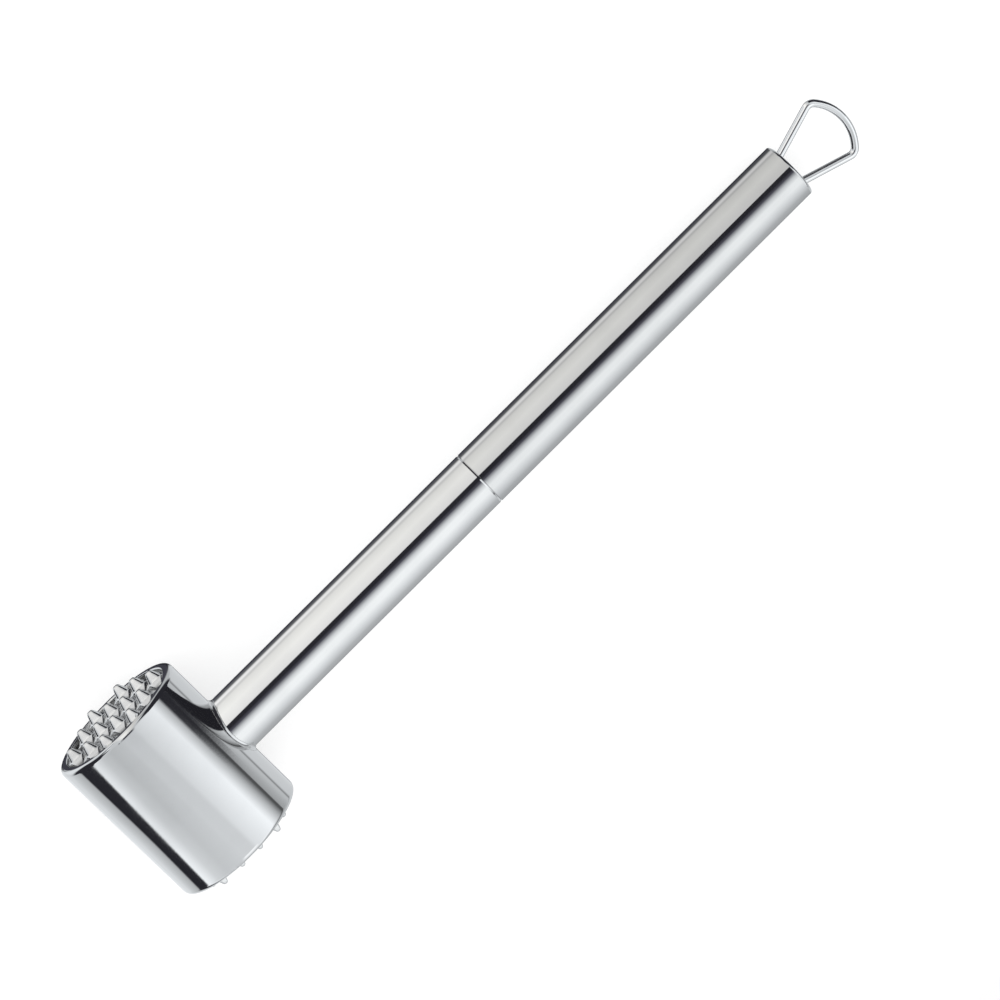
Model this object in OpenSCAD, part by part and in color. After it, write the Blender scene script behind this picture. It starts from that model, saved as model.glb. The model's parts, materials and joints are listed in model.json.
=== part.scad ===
// Two-faced meat mallet in stainless steel.
// A short round head lies across the end of a long tubular handle. One face of
// the head carries coarse spikes and the other carries fine ones. The handle is
// two tubes joined end to end, and its far end is closed and holds a wire loop.
//
// The mallet lies on its side: X runs along the handle towards the loop, Y runs
// along the head towards the coarse face, and Z is up. The origin is the middle
// of the overall length, on the table under the head.

/* [Overall] */
// Length from the head's back to the top of the hanging loop
overall_l = 267; // [240:1:300]

/* [Head] */
// Outside diameter of the head
head_d = 40; // [36:0.5:46]
// Length of the head from rim to rim
head_l = 47.3; // [42:0.1:56]
// Wall of the outer sleeve
sleeve_wall = 2.7; // [2.2:0.1:3.5]
// Radius on the outer edge of each rim
rim_r = 1.35; // [0.8:0.05:1.5]
// Radius on the inner edge of each rim
rim_inner_r = 0.35; // [0.2:0.05:0.6]
// Depth of each spiked plate's floor below its rim
recess = 1.65; // [1:0.05:2.5]
// Thickness of each spiked plate under its spikes
plate_t = 3; // [2:0.5:5]

/* [Coarse face] */
// Distance between neighbouring spikes in a row along the handle
coarse_pitch = 9.57; // [9.4:0.01:9.8]
// Distance from one row to the next
coarse_row = 7.25; // [7:0.05:7.3]
// Side of each spike's square point, where it stands on its base
coarse_side = 3.9; // [3:0.1:4]
// Height of each spike above the floor
coarse_h = 4.1; // [3.5:0.1:5]
// Height of the spreading base under each point
coarse_base_h = 1.45; // [1:0.05:1.6]

/* [Fine face] */
// Distance between neighbouring spikes in a row along the handle
fine_pitch = 6.44; // [6.2:0.01:6.5]
// Distance from one row to the next
fine_row = 6.15; // [5.8:0.05:6.2]
// Side of each spike's square point, where it stands on its base
fine_side = 2.7; // [2.2:0.1:3]
// Height of each spike above the floor
fine_h = 4.1; // [3.5:0.1:4.5]
// Height of the spreading base under each point
fine_base_h = 1.6; // [1:0.05:1.8]

/* [Handle] */
// Outside diameter of both handle tubes
handle_d = 16.6; // [14:0.1:20]
// Wall of both handle tubes
tube_wall = 1.2; // [1:0.1:1.6]
// Distance from the head's axis to the joint between the tubes
joint_x = 111.4; // [90:0.1:130]
// Distance from the head's axis to the handle's closed end
handle_end_x = 226.5; // [205:0.1:240]
// Depth of the V groove at the joint
groove_depth = 0.25; // [0.15:0.05:0.7]
// Width of the groove's side on the lower tube
groove_lower_w = 0.5; // [0.2:0.05:1]
// Width of the groove's side on the upper tube
groove_upper_w = 0.15; // [0.1:0.05:1]
// Radius on the outer edge of the closed end
end_edge_r = 0.8; // [0.5:0.05:1.1]
// Reach of the weld bead around the foot of the handle
weld_leg = 0.5; // [0.3:0.1:1]

/* [Hanging loop] */
// Diameter of the wire
wire_d = 2.2; // [2:0.1:2.4]
// Distance of each leg's centre from the handle's axis at the closed end
leg_y = 4.55; // [4.2:0.05:4.8]
// Angle by which each leg leans outwards
leg_angle = 17.2; // [14:0.2:19]
// Radius of the wire's centre line along the top of the loop
crown_r = 12.4; // [11.5:0.1:13.5]
// Radius of the wire's centre line at the two shoulders
shoulder_r = 2.3; // [2:0.1:2.8]

/* [Inside] */
// Diameter of the stud that ties the handle to the head
stud_d = 10; // [8:1:12]
// Depth of the stud in the core, measured from the core's surface
stud_depth = 14; // [10:1:15]
// Reach of the neck plug up the handle from the head's axis
plug_end_x = 40; // [34:1:50]
// Length of the spigot inside the joint between the tubes
spigot_l = 34; // [24:2:44]
// Thickness of the end cap
cap_t = 3; // [2:0.5:4]
// Length of each leg below the end cap
leg_tail = 3; // [2:0.5:5]
// Height of the braze around each leg under the end cap
braze_h = 1; // [0.6:0.1:1.5]

/* [Hidden] */
$fn = 96;

head_r = head_d / 2;
bore_r = head_r - sleeve_wall;
floor_y = head_l / 2 - recess;
core_l = 2 * (floor_y - plate_t);
handle_r = handle_d / 2;
tube_bore_r = handle_r - tube_wall;
head_x = head_r - overall_l / 2;
crown_x = overall_l - head_r - wire_d / 2;

// The leg's tangent meets the shoulder where the shoulder's centre lies
// shoulder_r inside the leg and crown_r - shoulder_r from the crown's centre.
crown_centre_x = crown_x - crown_r;
leg_dir = [cos(leg_angle), sin(leg_angle)];
leg_in = [sin(leg_angle), -cos(leg_angle)];
leg_foot = [handle_end_x, leg_y];
from_crown = leg_foot + shoulder_r * leg_in - [crown_centre_x, 0];
half_b = from_crown * leg_dir;
leg_l = -half_b + sqrt(half_b ^ 2 - from_crown * from_crown + (crown_r - shoulder_r) ^ 2);
shoulder_c = leg_foot + leg_l * leg_dir + shoulder_r * leg_in;
crown_half_angle = atan2(shoulder_c[1], shoulder_c[0] - crown_centre_x);

// Colours
steel = [0.80, 0.80, 0.79];
dark_steel = [0.55, 0.55, 0.56];
weld_steel = [0.70, 0.70, 0.70];
braze_silver = [0.78, 0.75, 0.66];

eps = 0.01;
wedge_reach = 60;

// A spike's point leans in by this share of its half width over its height, up
// to a blunt cap that drops by the other share between the middle and the edge.
point_lean = 0.55;
point_cap = 0.42;

// ---------- Placing ----------

// Puts what is drawn about the head's centre in its place on the table.
module from_head() {
    translate([head_x, 0, head_r]) children();
}

// A solid of revolution about the handle's axis, drawn as (radius, x).
module turned_on_handle() {
    rotate([0, 90, 0]) rotate_extrude() children();
}

// A solid of revolution about the head's axis, drawn as (radius, y).
module turned_on_head() {
    rotate([-90, 0, 0]) rotate_extrude() children();
}

// A round bar along the handle's axis, from x0 to x1.
module handle_bar(r, x0, x1) {
    translate([x0, 0, 0]) rotate([0, 90, 0]) cylinder(r = r, h = x1 - x0);
}

// A round bar along the head's axis, centred on the head.
module head_bar(r, l) {
    rotate([90, 0, 0]) cylinder(r = r, h = l, center = true);
}

// What a cutter takes off a sharp outer corner at [x, y] to leave radius r.
// The signs say on which side of the corner the material's outside lies.
module corner_cut(x, y, r, sx, sy) {
    translate([x, y]) mirror([sx < 0 ? 1 : 0, 0]) mirror([0, sy < 0 ? 1 : 0])
        translate([-r, -r]) difference() {
            square(r + 1);
            circle(r = r);
        }
}

// ---------- Head ----------

module head_sleeve() {
    color(steel) from_head() difference() {
        turned_on_head() difference() {
            translate([bore_r, -head_l / 2]) square([sleeve_wall, head_l]);
            for (side = [-1, 1]) {
                corner_cut(head_r, side * head_l / 2, rim_r, 1, side);
                corner_cut(bore_r, side * head_l / 2, rim_inner_r, -1, side);
            }
        }
        handle_bar(stud_d / 2, 0, head_r + 1);
    }
}

module head_core() {
    color(dark_steel) from_head() difference() {
        head_bar(bore_r, core_l);
        handle_bar(stud_d / 2, bore_r - stud_depth, head_r);
    }
}

// A prism along local Y whose section, drawn as (x, z), is the same both sides.
module ridge(half, reach) {
    mirrored = [for (i = [len(half) - 1:-1:0]) [-half[i][0], half[i][1]]];
    rotate([90, 0, 0]) linear_extrude(height = 2 * reach, center = true)
        polygon(concat(half, mirrored));
}

// One spike, standing on z = 0 with its rows along X. A square point with bulging
// sides stands on a low base. The base is a rhombus that follows the diagonals
// between the neighbours, and its top falls away from the foot of the point.
module spike(side, h, base_h, pitch, row) {
    s = side / 2;
    diagonal = atan2(row, pitch / 2);
    cell_r = pitch / 2 * sin(diagonal);
    wall_r = 0.8 * cell_r;
    point = concat([[s, 0]], [for (t = [0, 0.75, 0.82, 0.88, 0.93, 0.97, 0.99, 1])
        [s * max(0.1, min(1 - point_lean * t, sqrt((1 - t) / point_cap))), base_h + t * (h - base_h)]]);
    fall = [[2.5 * s, 0], [2.5 * s, 0.1 * base_h], [s, base_h]];
    shelf = [[wall_r, 0], [wall_r, 0.15 * base_h], [0.88 * wall_r, base_h]];
    intersection() {
        ridge(point, s);
        rotate(90) ridge(point, s);
    }
    intersection() {
        rotate(90) ridge(fall, pitch);
        ridge(fall, pitch);
        rotate(90 - diagonal) ridge(shelf, pitch);
        rotate(diagonal - 90) ridge(shelf, pitch);
    }
}

// A spiked plate, facing +Y. Each row is [how many steps from the middle row,
// how many spikes], and neighbouring rows are offset by half a pitch.
module spiked_plate(side, h, base_h, pitch, row, rows) {
    translate([0, floor_y - plate_t, 0]) rotate([-90, 0, 0]) cylinder(r = bore_r, h = plate_t);
    translate([0, floor_y - eps, 0]) rotate([-90, 0, 0]) intersection() {
        cylinder(r = bore_r, h = 2 * h);
        for (r = rows, sign = r[0] == 0 ? [1] : [-1, 1], i = [0:r[1] - 1])
            translate([(i - (r[1] - 1) / 2) * pitch, sign * r[0] * row, 0])
                spike(side, h + eps, base_h + eps, pitch, row);
    }
}

module coarse_plate() {
    color(steel) from_head()
        spiked_plate(coarse_side, coarse_h, coarse_base_h, coarse_pitch, coarse_row,
                     [[0, 4], [1, 3], [2, 2]]);
}

module fine_plate() {
    color(steel) from_head() mirror([0, 1, 0])
        spiked_plate(fine_side, fine_h, fine_base_h, fine_pitch, fine_row,
                     [[0, 4], [1, 5], [2, 4]]);
}

// ---------- Neck ----------

module tie_stud() {
    color(dark_steel) from_head() handle_bar(stud_d / 2, bore_r - stud_depth, plug_end_x - 2);
}

// Anything that stands on the head ends in the head's own curve.
module coped_to_head() {
    difference() {
        children();
        head_bar(head_r, head_l);
    }
}

module neck_plug() {
    color(dark_steel) from_head() coped_to_head() difference() {
        handle_bar(tube_bore_r, 0, plug_end_x);
        handle_bar(stud_d / 2, -1, plug_end_x - 2);
    }
}

module neck_weld() {
    color(weld_steel) from_head() coped_to_head() intersection() {
        head_bar(head_r + weld_leg, head_l);
        difference() {
            handle_bar(handle_r + weld_leg, 0, head_d);
            handle_bar(handle_r, -1, head_d + 1);
        }
    }
}

// ---------- Handle ----------

// A tube wall from x0 to x1, drawn as (radius, x).
module wall_section(x0, x1) {
    translate([tube_bore_r, x0]) square([tube_wall, x1 - x0]);
}

// The V that the joint takes out of both tubes, drawn as (radius, x).
module groove_section() {
    widen = 1 + 1 / groove_depth;
    translate([handle_r, joint_x])
        polygon([[-groove_depth, 0], [1, groove_upper_w * widen], [1, -groove_lower_w * widen]]);
}

module lower_tube() {
    color(steel) from_head() coped_to_head() turned_on_handle() difference() {
        wall_section(0, joint_x);
        groove_section();
    }
}

module upper_tube() {
    color(steel) from_head() turned_on_handle() difference() {
        wall_section(joint_x, handle_end_x);
        groove_section();
        corner_cut(handle_r, handle_end_x, end_edge_r, 1, 1);
    }
}

module joint_spigot() {
    color(dark_steel) from_head() difference() {
        handle_bar(tube_bore_r, joint_x - spigot_l / 2, joint_x + spigot_l / 2);
        handle_bar(tube_bore_r - 2, joint_x - spigot_l, joint_x + spigot_l);
    }
}

// ---------- Closed end and loop ----------

// Places children at one leg's foot on the closed end, with Z along the leg.
module on_leg(side) {
    translate([handle_end_x, side * leg_y, 0]) rotate([0, 0, side * leg_angle]) rotate([0, 90, 0]) children();
}

module end_cap() {
    color(steel) from_head() difference() {
        handle_bar(tube_bore_r, handle_end_x - cap_t, handle_end_x);
        for (side = [-1, 1])
            on_leg(side) cylinder(d = wire_d, h = 4 * cap_t, center = true);
    }
}

module loop_braze() {
    color(braze_silver) from_head() for (side = [-1, 1])
        intersection() {
            handle_bar(tube_bore_r - 1, handle_end_x - cap_t - braze_h, handle_end_x - cap_t);
            on_leg(side) difference() {
                cylinder(d = wire_d + 2 * braze_h, h = 6 * cap_t, center = true);
                cylinder(d = wire_d, h = 8 * cap_t, center = true);
            }
        }
}

// A ring of wire about centre, cut down to the bend between the angles a0 and a1
// by a wedge whose far side lies at wedge_reach or beyond.
module bend(centre, r, a0, a1) {
    middle = (a0 + a1) / 2;
    translate(centre) intersection() {
        rotate_extrude() translate([r, 0]) circle(d = wire_d);
        translate([0, 0, -wire_d]) linear_extrude(height = 2 * wire_d)
            polygon([[0, 0], wedge_reach * [cos(a0), sin(a0)],
                     1.67 * wedge_reach * [cos(middle), sin(middle)], wedge_reach * [cos(a1), sin(a1)]]);
    }
}

// A band a hundredth of a millimetre proud that joins the crown to a shoulder.
module shoulder_band(side) {
    translate([crown_centre_x, 0, 0]) rotate([0, 0, side * crown_half_angle]) translate([crown_r, 0, 0])
        rotate([90, 0, 0]) cylinder(d = wire_d + 2 * eps, h = 0.2, center = true);
}

module hanging_loop() {
    tail = (cap_t + leg_tail) / cos(leg_angle);
    color(steel) from_head() {
        for (side = [-1, 1]) {
            on_leg(side) translate([0, 0, -tail]) cylinder(d = wire_d, h = leg_l + tail);
            bend([shoulder_c[0], side * shoulder_c[1], 0], shoulder_r,
                 min(side * crown_half_angle, side * (90 + leg_angle)),
                 max(side * crown_half_angle, side * (90 + leg_angle)));
            shoulder_band(side);
        }
        bend([crown_centre_x, 0, 0], crown_r, -crown_half_angle, crown_half_angle);
    }
}

head_sleeve();
head_core();
coarse_plate();
fine_plate();
tie_stud();
neck_plug();
neck_weld();
lower_tube();
joint_spigot();
upper_tube();
end_cap();
loop_braze();
hanging_loop();
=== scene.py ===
"""The meat mallet's looks: polished stainless steel in a white tent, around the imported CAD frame."""

import json
import math

import bmesh
import bpy
from mathutils import Matrix, Vector

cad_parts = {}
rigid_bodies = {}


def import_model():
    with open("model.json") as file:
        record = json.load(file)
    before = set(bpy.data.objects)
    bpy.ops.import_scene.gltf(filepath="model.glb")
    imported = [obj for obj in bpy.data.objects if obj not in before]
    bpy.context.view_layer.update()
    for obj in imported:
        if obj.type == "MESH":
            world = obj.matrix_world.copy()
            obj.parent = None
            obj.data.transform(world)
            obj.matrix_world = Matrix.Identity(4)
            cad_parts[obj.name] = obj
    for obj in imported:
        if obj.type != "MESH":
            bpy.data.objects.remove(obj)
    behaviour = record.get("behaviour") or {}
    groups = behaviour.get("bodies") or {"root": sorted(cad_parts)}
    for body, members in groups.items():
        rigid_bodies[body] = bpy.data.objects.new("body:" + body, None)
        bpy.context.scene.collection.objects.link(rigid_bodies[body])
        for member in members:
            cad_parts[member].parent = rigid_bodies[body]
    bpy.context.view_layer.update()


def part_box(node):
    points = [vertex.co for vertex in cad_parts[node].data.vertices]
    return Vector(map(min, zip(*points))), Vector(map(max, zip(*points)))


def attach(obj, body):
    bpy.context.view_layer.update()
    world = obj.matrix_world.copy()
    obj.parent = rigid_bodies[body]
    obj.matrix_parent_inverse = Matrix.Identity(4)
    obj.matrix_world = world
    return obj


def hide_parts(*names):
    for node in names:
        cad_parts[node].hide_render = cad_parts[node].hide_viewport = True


MM = 0.001


# ---------- Scene ----------

def clear_defaults():
    """Takes away what Blender opens with, so that only the mallet counts."""
    for obj in list(bpy.data.objects):
        bpy.data.objects.remove(obj)


clear_defaults()
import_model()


HEAD_LOW, HEAD_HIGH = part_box("head_sleeve")
HEAD = (HEAD_LOW + HEAD_HIGH) / 2
HEAD_R = (HEAD_HIGH.x - HEAD_LOW.x) / 2
TUBE_LOW, TUBE_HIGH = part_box("upper_tube")
HANDLE_END = TUBE_HIGH.x
HANDLE_R = (TUBE_HIGH.z - TUBE_LOW.z) / 2

# Each plate is a plain disc this thick under its spikes.
PLATE_T = 3 * MM
SPIKE_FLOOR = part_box("coarse_plate")[0].y + PLATE_T


# ---------- Node trees ----------

class Nodes:
    """A node tree and the calls that fill it."""

    def __init__(self, tree):
        self.tree = tree
        tree.nodes.clear()

    def add(self, kind, inputs=None, **settings):
        """A new node. inputs gives each socket, by name or number, a value or another node's output."""
        made = self.tree.nodes.new(kind)
        for key, value in settings.items():
            setattr(made, key, value)
        for key, value in (inputs or {}).items():
            socket = made.inputs[key]
            if isinstance(value, bpy.types.NodeSocket):
                self.tree.links.new(value, socket)
            else:
                socket.default_value = value
        return made

    def math(self, operation, a, b=0.0, clamp=False):
        return self.add("ShaderNodeMath", {0: a, 1: b}, operation=operation, use_clamp=clamp).outputs[0]

    def clamp(self, value, low, high):
        return self.math("MINIMUM", self.math("MAXIMUM", value, low), high)

    def smooth(self, value, low, high, to_low=0.0, to_high=1.0):
        """to_low where value is under low, to_high where it is over high, and a smooth step between."""
        return self.add("ShaderNodeMapRange", {0: value, 1: low, 2: high, 3: to_low, 4: to_high},
                        interpolation_type="SMOOTHSTEP").outputs[0]

    def mix(self, factor, a, b):
        """A blend of two colours."""
        return self.add("ShaderNodeMix", {0: factor, 6: a, 7: b}, data_type="RGBA").outputs[2]

    def mix_value(self, factor, a, b):
        """A blend of two numbers."""
        return self.add("ShaderNodeMix", {0: factor, 2: a, 3: b}, data_type="FLOAT").outputs[0]

    def scale(self, colour, by):
        """A colour made brighter or darker."""
        return self.add("ShaderNodeVectorMath", {0: colour, "Scale": by}, operation="SCALE").outputs[0]

    def ramp(self, value, stops):
        """A colour for each value from 0 to 1."""
        made = self.add("ShaderNodeValToRGB", {0: value})
        elements = made.color_ramp.elements
        while len(elements) > 1:
            elements.remove(elements[-1])
        elements[0].position = stops[0][0]
        elements[0].color = stops[0][1]
        for position, colour in stops[1:]:
            elements.new(position).color = colour
        return made.outputs[0]


def linear(shade):
    """The light that shows as this shade, from 0 for black to 1 for white."""
    return shade / 12.92 if shade <= 0.04045 else ((shade + 0.055) / 1.055) ** 2.4


# ---------- Studio ----------

# The share of light that the steel sends back. The tent is brighter by as much, so that
# its shades are the ones that show in the steel.
STEEL_REFLECTS = 0.66
BLACK_SHADE = 0.15

# Tints of the tent's light, as shares of red, green and blue.
COOL = (0.965, 1.0, 1.03)
BRIGHT = (0.975, 1.005, 1.02)
NEUTRAL = (1.0, 1.0, 1.0)
WARM = (1.0, 1.0, 0.975)
BLACK = (0.98, 0.98, 1.25)

# The tent as the handle sees it, round its axis: degrees from straight up, where
# positive leans to the coarse face, with the shade that shows in the steel there.
# Between two stops the light changes evenly. Each list below is one part of the tent.
FINE_WALL = [(-180, 0.4, COOL), (-125, 0.65, COOL), (-105, 0.7, COOL), (-75, 0.85, COOL)]
FINE_SOFTBOX = [(-50, 0.95, BRIGHT), (-30, 0.95, BRIGHT)]
CAMERA_GAP = [(-15, 0.8, COOL), (0, 0.3, BLACK), (10, BLACK_SHADE, BLACK), (22.5, BLACK_SHADE, BLACK)]
WHITE_CARD = [(24, 0.85, NEUTRAL), (65, 0.9, WARM), (100, 0.85, WARM)]
CARD_FOOT = [(112, 0.75, NEUTRAL), (122, 0.9, NEUTRAL), (130, 0.85, NEUTRAL)]
UNDERSIDE = [(140, 0.4, COOL), (160, 0.25, BLACK), (180, 0.25, BLACK)]
ROUND_HANDLE = FINE_WALL + FINE_SOFTBOX + CAMERA_GAP + WHITE_CARD + CARD_FOOT + UNDERSIDE

# The same round the head's axis, where positive leans to the handle.
BACK_WALL = [(-180, 0.85, COOL), (-135, 0.85, COOL), (-106, 0.7, COOL)]
BACK_FLAG = [(-103, BLACK_SHADE, BLACK), (-83, BLACK_SHADE, BLACK)]
ROOF = [(-81, 0.95, COOL), (-60, 0.8, COOL), (-40, 0.75, COOL), (0, 0.8, COOL), (55, 0.95, COOL)]
LOOP_FLAG = [(75, 0.65, COOL), (85, 0.3, COOL), (88.5, 0.3, COOL)]
LOOP_WALL = [(90, 0.6, COOL), (110, 0.75, COOL)]
WALL_FOOT = [(114, 0.75, COOL), (117, 0.5, COOL), (122, 0.8, COOL)]
ROUND_HEAD = BACK_WALL + BACK_FLAG + ROOF + LOOP_FLAG + LOOP_WALL + WALL_FOOT

# The coarse side's dark opening begins a little past upright, towards the fine side:
# where a ray's direction has this much of -Y in it.
OPENING_Y = 0.254


def tent_ramp(nodes, angle, stops):
    """The tent's light by an angle in radians from -pi to pi."""
    turn = nodes.math("MULTIPLY_ADD", angle, 1 / math.tau)
    turn.node.inputs[2].default_value = 0.5
    return nodes.ramp(turn, [((degrees + 180) / 360, [linear(shade) * part for part in tint] + [1])
                             for degrees, shade, tint in stops])


def light_round_head(nodes, x, y, z):
    """The tent's light by its angle round the head's axis. x, y and z give a ray's direction, of length 1."""
    # The dark band at the head's back runs a little askew, its upper edge more than its lower one.
    skew = nodes.math("MULTIPLY", nodes.math("ADD", y, OPENING_Y), 6.0)
    skew = nodes.mix_value(nodes.smooth(z, -0.1, 0.05), nodes.math("MINIMUM", skew, 0.0), skew)
    skew = nodes.math("MULTIPLY", skew, nodes.smooth(x, -0.4, -0.8))
    skew = nodes.clamp(skew, -0.2, 0.2)
    light = tent_ramp(nodes, nodes.math("SUBTRACT", nodes.math("ARCTAN2", x, z), skew), ROUND_HEAD)

    # The wall behind the fine face is the brighter one, above the table.
    dim, bright = 0.92, 1.06
    gain = nodes.clamp(nodes.math("SUBTRACT", -0.15, nodes.math("MULTIPLY", y, 4.5)), dim, bright)
    return nodes.scale(light, nodes.mix_value(nodes.smooth(z, -0.25, 0.1), dim, gain))


def dark_opening(nodes, x, y, z):
    """How much of the dark gap on the coarse side a ray finds, from 0 for none to 1."""
    ahead = nodes.smooth(x, -0.1, 0.1)
    sharp = nodes.mix_value(ahead, 60.0, 110.0)
    edge = nodes.smooth(z, -0.18, -0.28, OPENING_Y, 0.06)
    beyond = nodes.math("MULTIPLY", nodes.math("ADD", y, edge), sharp, clamp=True)
    low_top = nodes.mix_value(ahead, 0.13, 0.31)
    high_top = nodes.mix_value(ahead, 0.62, 0.75)
    top = nodes.mix_value(nodes.smooth(y, -0.15, 0.2), low_top, high_top)
    below = nodes.math("MULTIPLY", nodes.math("SUBTRACT", top, z), 12.0, clamp=True)
    opening = nodes.math("MULTIPLY", beyond, below)

    # One white card abreast of the handle stands in it, and the table covers its lower corners.
    bearing = nodes.math("DIVIDE", x, nodes.math("MAXIMUM", y, 0.05))
    card = nodes.math("MULTIPLY", nodes.smooth(bearing, -0.8, -0.65), nodes.smooth(bearing, 0.5, 0.4))
    card = nodes.math("MULTIPLY", card, nodes.smooth(y, 0.1, 0.3))
    aside = nodes.math("ABSOLUTE", x)
    table = nodes.math("MULTIPLY", nodes.smooth(z, -0.4, -0.6), nodes.smooth(aside, 0.15, 0.35))
    for covered in (card, table):
        opening = nodes.math("MULTIPLY", opening, nodes.math("SUBTRACT", 1.0, covered))
    return opening


def tent_colour(nodes):
    """The colour that a reflected ray finds, by its direction."""
    direction = nodes.add("ShaderNodeTexCoord").outputs["Generated"]
    x, y, z = nodes.add("ShaderNodeSeparateXYZ", {0: direction}).outputs
    round_handle = tent_ramp(nodes, nodes.math("ARCTAN2", y, z), ROUND_HANDLE)
    round_head = light_round_head(nodes, x, y, z)

    # Steel that leans along the handle sees the tent's ends.
    starts = nodes.smooth(z, -0.5, -0.2, 0.12, 0.145)
    leaning = nodes.math("SUBTRACT", nodes.math("ABSOLUTE", x), starts)
    sideways = nodes.math("MULTIPLY", leaning, 9.0, clamp=True)
    tent = nodes.mix(sideways, round_handle, round_head)

    # The coarse side grows dimmer towards the loop.
    fade = nodes.math("MULTIPLY", nodes.math("MULTIPLY", x, 1.8), nodes.smooth(y, 0.2, 0.5))
    tent = nodes.scale(tent, nodes.clamp(nodes.math("SUBTRACT", 1.0, fade), 0.78, 1.12))

    black = [linear(BLACK_SHADE) * part for part in BLACK] + [1]
    return nodes.mix(dark_opening(nodes, x, y, z), tent, black)


def build_world():
    """White light for the floor, and for the steel a tent with a dark gap round the camera."""
    world = bpy.data.worlds.new("studio")
    bpy.context.scene.world = world
    world.use_nodes = True
    nodes = Nodes(world.node_tree)
    tent = tent_colour(nodes)
    seen_in_steel = nodes.add("ShaderNodeBackground", {0: tent, 1: 1 / STEEL_REFLECTS}).outputs[0]
    plain = nodes.add("ShaderNodeBackground", {0: (1, 1, 1, 1), 1: 1.0}).outputs[0]
    rays = nodes.add("ShaderNodeLightPath").outputs
    both = nodes.add("ShaderNodeMixShader", {0: rays["Is Glossy Ray"], 1: plain, 2: seen_in_steel})
    nodes.add("ShaderNodeOutputWorld", {"Surface": both.outputs[0]})


def build_floor():
    """A plain white table, on which the head and the closed end both rest. It can't be seen from below."""
    near, far, side = -0.1, 0.32, 0.21
    glow = 0.62
    slope = math.asin((HEAD_R - HANDLE_R) / (HANDLE_END - HEAD.x))
    mesh = bpy.data.meshes.new("floor")
    corners = [(near, -side, 0), (far, -side, 0), (far, side, 0), (near, side, 0)]
    mesh.from_pydata(corners, [], [(0, 1, 2, 3)])
    floor = bpy.data.objects.new("floor", mesh)
    bpy.context.scene.collection.objects.link(floor)
    tilt = Matrix.Rotation(-slope, 4, "Y")
    floor.matrix_world = Matrix.Translation(HEAD) @ tilt @ Matrix.Translation((0, 0, -HEAD_R))
    floor.visible_glossy = False
    material = bpy.data.materials.new("floor")
    material.use_nodes = True
    nodes = Nodes(material.node_tree)
    lit_through = nodes.add("ShaderNodeEmission", {0: (1, 1, 1, 1), 1: glow}).outputs[0]
    paper = nodes.add("ShaderNodeBsdfDiffuse", {0: (0.5, 0.5, 0.5, 1)}).outputs[0]
    both = nodes.add("ShaderNodeAddShader", {0: lit_through, 1: paper}).outputs[0]
    under = nodes.add("ShaderNodeNewGeometry").outputs["Backfacing"]
    clear = nodes.add("ShaderNodeBsdfTransparent").outputs[0]
    one_sided = nodes.add("ShaderNodeMixShader", {0: under, 1: both, 2: clear}).outputs[0]
    nodes.add("ShaderNodeOutputMaterial", {0: one_sided})
    mesh.materials.append(material)


def build_light():
    """One broad soft lamp over the table. The steel sees the tent, not the lamp."""
    data = bpy.data.lights.new("softbox", "AREA")
    data.shape = "RECTANGLE"
    data.size = 1.2
    data.size_y = 0.9
    data.energy = 2.4
    lamp = bpy.data.objects.new("softbox", data)
    tilt = Matrix.Rotation(-0.4, 4, "X") @ Matrix.Rotation(-0.25, 4, "Y")
    lamp.matrix_world = Matrix.Translation((-0.3, 0.5, 1.2)) @ tilt
    lamp.visible_glossy = False
    bpy.context.scene.collection.objects.link(lamp)


def build_camera():
    """High over the mallet, leaning to the coarse face, with the handle running up to the right."""
    lean = math.radians(14.85)
    yaw = 0.02
    roll = math.radians(45) - 0.0028
    distance = 1.12
    lens_mm = 154.2
    past_head = 0.1111
    below_axis = 0.00814

    toward = Vector((-math.sin(yaw), math.sin(lean) * math.cos(yaw), math.cos(lean) * math.cos(yaw)))
    along = Vector((math.cos(yaw), math.sin(lean) * math.sin(yaw), math.cos(lean) * math.sin(yaw)))
    across = toward.cross(along) * -1
    right = math.cos(roll) * along + math.sin(roll) * across
    up = math.sin(roll) * along - math.cos(roll) * across
    skew = math.radians(45) - roll
    handle_way = math.cos(skew) * along - math.sin(skew) * across
    below_way = math.sin(skew) * along + math.cos(skew) * across
    place = HEAD + past_head * handle_way + below_axis * below_way + distance * toward

    data = bpy.data.cameras.new("camera")
    data.lens = lens_mm
    data.sensor_width = 36
    data.clip_end = 100
    camera = bpy.data.objects.new("camera", data)
    rotation = Matrix((right, up, toward)).transposed()
    camera.matrix_world = Matrix.Translation(place) @ rotation.to_4x4()
    bpy.context.scene.collection.objects.link(camera)
    bpy.context.scene.camera = camera


# ---------- Finer meshes ----------

def add_piece(name, points, faces, node, slot):
    """A smooth closed mesh, given in millimetres about the head's centre, that stands for a CAD node."""
    mesh = bpy.data.meshes.new(name)
    mesh.from_pydata([HEAD + Vector(point) * MM for point in points], [], faces)
    shape = bmesh.new()
    shape.from_mesh(mesh)
    bmesh.ops.recalc_face_normals(shape, faces=shape.faces)
    shape.to_mesh(mesh)
    shape.free()
    mesh.shade_smooth()
    piece = bpy.data.objects.new(name, mesh)
    bpy.context.scene.collection.objects.link(piece)
    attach(piece, "root")
    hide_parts(node)
    return piece


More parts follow.
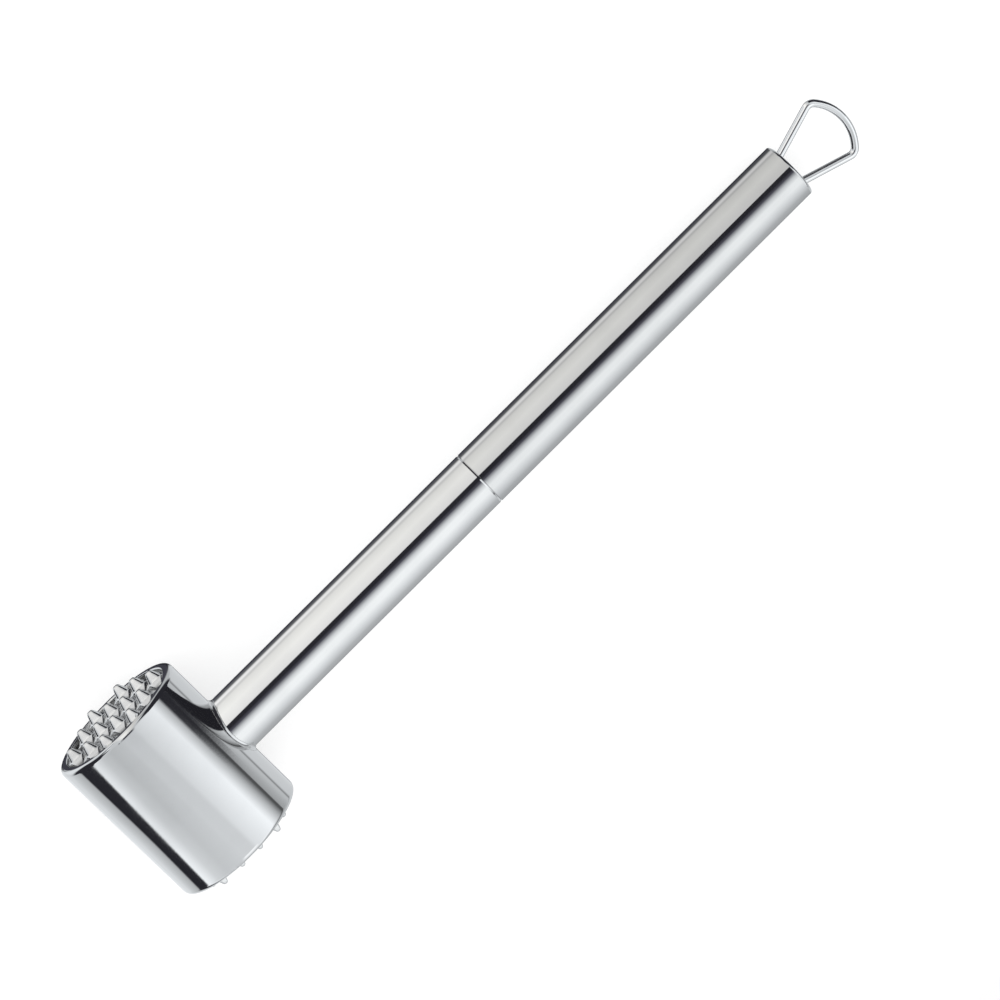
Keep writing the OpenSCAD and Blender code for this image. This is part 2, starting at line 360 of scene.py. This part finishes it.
class SpikeField:
    """The spikes of one face, in millimetres: across lies along the handle and up along Z.

    Each spike is a square point with rounded corners and a domed top, on a low rhombic base.
    """
    # How square a point's section is: 2 would be round.
    squareness = 5
    # How far a point's sides close in by its top, as a share of half its width.
    lean = 0.55
    # How far the dome falls by the point's side, as a share of the point's height.
    cap = 0.42
    # How sharply the sides turn into the dome.
    blend = 10
    # How steeply the base's top falls away from the point.
    fall = 0.5
    # The base's size, as a share of what would fill the pattern.
    base_share = 0.8
    # Where the base's top ends, as a share of its size, and its foot's height, as a share of its own.
    shelf = 0.88
    foot = 0.15

    def __init__(self, side, height, base, pitch, row, rows):
        self.half = side / 2
        self.height = height
        self.base = base
        self.pitch = pitch
        self.row = row
        self.diagonal = math.atan2(row, pitch / 2)
        self.wall = self.base_share * pitch / 2 * math.sin(self.diagonal)
        self.centres = [((i - (count - 1) / 2) * pitch, sign * step * row)
                        for step, count in rows for sign in ((-1, 1) if step else (1,)) for i in range(count)]

    def spike(self, across, up):
        """Height of one spike over the floor, at this place from its middle."""
        across, up = abs(across), abs(up)
        off = (across ** self.squareness + up ** self.squareness) ** (1 / self.squareness)
        share = off / self.half
        climb = (1 - share) / self.lean
        if share < 1:
            sides = max(climb, 0.001)
            dome = 1 - self.cap * share ** 2
            climb = (sides ** -self.blend + dome ** -self.blend) ** (-1 / self.blend)
        point = self.base + (self.height - self.base) * climb
        skirt = self.base - self.fall * (off - self.half)
        edge = across * math.sin(self.diagonal) + up * math.cos(self.diagonal)
        past_shelf = (edge / self.wall - self.shelf) / (1 - self.shelf)
        wall = self.base - past_shelf * (1 - self.foot) * self.base
        return min(max(point, skirt), wall)

    def __call__(self, across, up):
        """Height of the face over its floor."""
        offsets = [(across - x, up - z) for x, z in self.centres]
        near = [(x, z) for x, z in offsets if abs(x) < self.pitch and abs(z) < self.row]
        return max([0] + [self.spike(x, z) for x, z in near])


def round_grid(radius, steps):
    """A square grid of points bent to fill a disc, row by row."""
    for i in range(steps + 1):
        for j in range(steps + 1):
            a, b = 2 * i / steps - 1, 2 * j / steps - 1
            if a == b == 0:
                yield 0.0, 0.0
            elif abs(a) > abs(b):
                yield radius * a * math.cos(math.pi / 4 * b / a), radius * a * math.sin(math.pi / 4 * b / a)
            else:
                yield radius * b * math.sin(math.pi / 4 * a / b), radius * b * math.cos(math.pi / 4 * a / b)


def build_face(node, side, field):
    """One spiked plate, facing +Y where side is 1 and -Y where it is -1."""
    gap = 0.02
    low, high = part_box(node)
    radius = (high.x - low.x) / 2 / MM - gap
    back = ((low.y if side > 0 else high.y) - HEAD.y) / MM
    floor = back + side * PLATE_T / MM
    steps = 200
    points = [(x, floor + side * field(x, z), z) for x, z in round_grid(radius, steps)]
    row = steps + 1
    faces = [(i * row + j, i * row + j + 1, (i + 1) * row + j + 1, (i + 1) * row + j)
             for i in range(steps) for j in range(steps)]
    border = ([i * row for i in range(steps)] + [steps * row + j for j in range(steps)]
              + [i * row + steps for i in range(steps, 0, -1)] + list(range(steps, 0, -1)))
    first = len(points)
    points += [(points[i][0], back, points[i][2]) for i in border]
    count = len(border)
    faces += [(border[k], first + k, first + (k + 1) % count, border[(k + 1) % count]) for k in range(count)]
    faces.append(tuple(range(first, first + count)))
    return points, faces


def build_faces():
    """Both spiked plates. Rows are given as steps from the middle row, with the spikes in each."""
    coarse = SpikeField(3.9, 4.1, 1.45, 9.57, 7.25, ((0, 4), (1, 3), (2, 2)))
    fine = SpikeField(2.7, 4.1, 1.6, 6.44, 6.15, ((0, 4), (1, 5), (2, 4)))
    add_piece("coarse_spikes", *build_face("coarse_plate", 1, coarse), "coarse_plate", "spike_steel")
    add_piece("fine_spikes", *build_face("fine_plate", -1, fine), "fine_plate", "spike_steel")


def build_neck_fillet():
    """The weld round the handle's foot, ground to the hollow that a ball leaves in the corner."""
    ball, bends, turns = 1.1, 10, 144
    inside = 0.05
    head_r, handle_r = HEAD_R / MM, HANDLE_R / MM
    points = []
    for k in range(turns):
        angle = math.tau * k / turns
        spoke = Vector((0, math.cos(angle), math.sin(angle)))
        middle = spoke * (handle_r + ball)
        middle.x = math.sqrt((head_r + ball) ** 2 - middle.z ** 2)
        to_tube = -spoke
        to_head = -Vector((middle.x, 0, middle.z)).normalized()
        points += [middle + ball * to_tube.slerp(to_head, i / bends) for i in range(bends + 1)]
        corner = spoke * (handle_r - inside)
        corner.x = math.sqrt((head_r - inside) ** 2 - corner.z ** 2)
        points.append(corner)
    ring = bends + 2
    faces = [(k * ring + i, k * ring + (i + 1) % ring, (k + 1) % turns * ring + (i + 1) % ring,
              (k + 1) % turns * ring + i) for k in range(turns) for i in range(ring)]
    add_piece("neck_fillet", points, faces, "neck_weld", "weld_steel")


# ---------- Steel ----------

def steel(name, shade=1.0, roughness=0.07, tint=(1.0, 1.0, 1.0), painted_shade_floor=False):
    """Polished stainless steel with faint smudges. The floor between the spikes can be given painted shade
    and a rougher finish.
    """
    material = bpy.data.materials.new(name)
    material.use_nodes = True
    nodes = Nodes(material.node_tree)
    place = nodes.add("ShaderNodeTexCoord").outputs["Object"]

    smudge = nodes.add("ShaderNodeTexNoise", {"Vector": place, "Scale": 70.0, "Detail": 4.0}).outputs[0]
    fine = nodes.add("ShaderNodeTexNoise", {"Vector": place, "Scale": 1800.0, "Detail": 2.0}).outputs[0]
    rough = nodes.smooth(smudge, 0.35, 0.75, roughness, roughness * 1.7)
    rough = nodes.math("ADD", rough, nodes.math("MULTIPLY", fine, roughness * 0.3))

    colour = [STEEL_REFLECTS * shade * part for part in tint] + [1]
    dull = [part * 0.96 for part in colour[:3]] + [1]
    base = nodes.mix(nodes.smooth(smudge, 0.4, 0.7), colour, dull)
    if painted_shade_floor:
        # Painted shade: the floor between the spikes is darkened to 0.3 of the steel's colour. It is also
        # made rougher.
        y = nodes.math("ABSOLUTE", nodes.add("ShaderNodeSeparateXYZ", {0: place}).outputs[1])
        raised = nodes.smooth(y, SPIKE_FLOOR, SPIKE_FLOOR + 0.9 * MM)
        base = nodes.mix(raised, [part * 0.3 for part in colour[:3]] + [1], base)
        rough = nodes.mix_value(raised, 0.45, rough)
    bump = nodes.add("ShaderNodeBump", {"Strength": 0.05, "Distance": 0.00002, "Height": fine}).outputs[0]
    surface = nodes.add("ShaderNodeBsdfPrincipled", {
        "Base Color": base, "Metallic": 1.0, "Roughness": rough, "Normal": bump}).outputs[0]
    nodes.add("ShaderNodeOutputMaterial", {0: surface})
    return material


def dress(name, material):
    """Gives a CAD node or a piece its material."""
    slots = bpy.data.objects[name].data.materials
    slots.clear()
    slots.append(material)


def dress_all():
    polished = steel("polished_steel", roughness=0.035)
    upper = steel("polished_steel_upper", shade=0.92, roughness=0.04)
    spikes = steel("spike_steel", roughness=0.14, painted_shade_floor=True)
    # Painted light: the wire is a brighter copy of the same steel, so that the loop shows lighter.
    wire = steel("polished_wire", shade=1.15)
    machined = steel("machined_steel", shade=0.8, roughness=0.3)
    weld = steel("weld_steel", roughness=0.1)
    braze = steel("braze", shade=0.95, roughness=0.3, tint=(1.0, 0.94, 0.8))
    finishes = {
        "head_sleeve": polished, "lower_tube": polished, "upper_tube": upper, "end_cap": polished,
        "coarse_plate": spikes, "fine_plate": spikes, "hanging_loop": wire, "neck_weld": weld,
        "head_core": machined, "tie_stud": machined, "neck_plug": machined, "joint_spigot": machined,
        "loop_braze": braze, "coarse_spikes": spikes, "fine_spikes": spikes, "neck_fillet": weld}
    for name, material in finishes.items():
        dress(name, material)


build_faces()
build_neck_fillet()
build_world()
build_floor()
build_light()
build_camera()
dress_all()
bpy.context.scene.view_settings.view_transform = "Standard"
